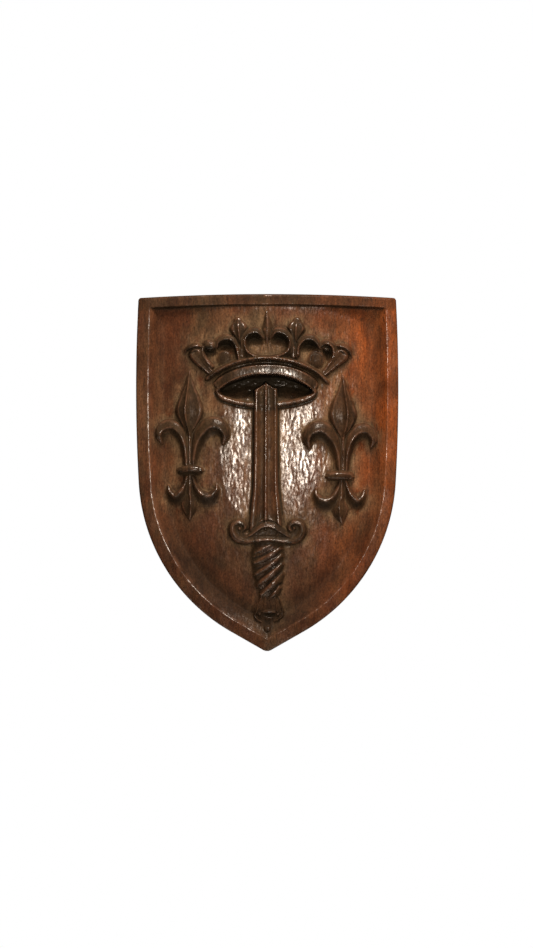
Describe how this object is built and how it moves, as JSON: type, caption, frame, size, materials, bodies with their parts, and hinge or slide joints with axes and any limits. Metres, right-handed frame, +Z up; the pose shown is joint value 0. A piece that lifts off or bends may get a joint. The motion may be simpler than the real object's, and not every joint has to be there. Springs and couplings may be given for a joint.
{
  "type": "carved heraldic shield plaque",
  "caption": "Heater-shaped wooden wall shield with a raised rim, carved in relief with a sword standing in a crown between fleurs-de-lis.",
  "frame": {"origin": "on the flat back, on the centre line, at the level where the shield is widest, 108 mm below the top edge", "axes": "+X to the viewer's right, +Z up, +Y into the wall; the carved front faces -Y"},
  "size_m": [0.3, 0.0469, 0.4083],
  "materials": {
    "waxed_wood": "dark stained wood under old wax, semi-gloss and worn, with pale dust in the recesses"
  },
  "bodies": {
    "root": {"carved_shield": "waxed_wood"}
  },
  "joints": []
}
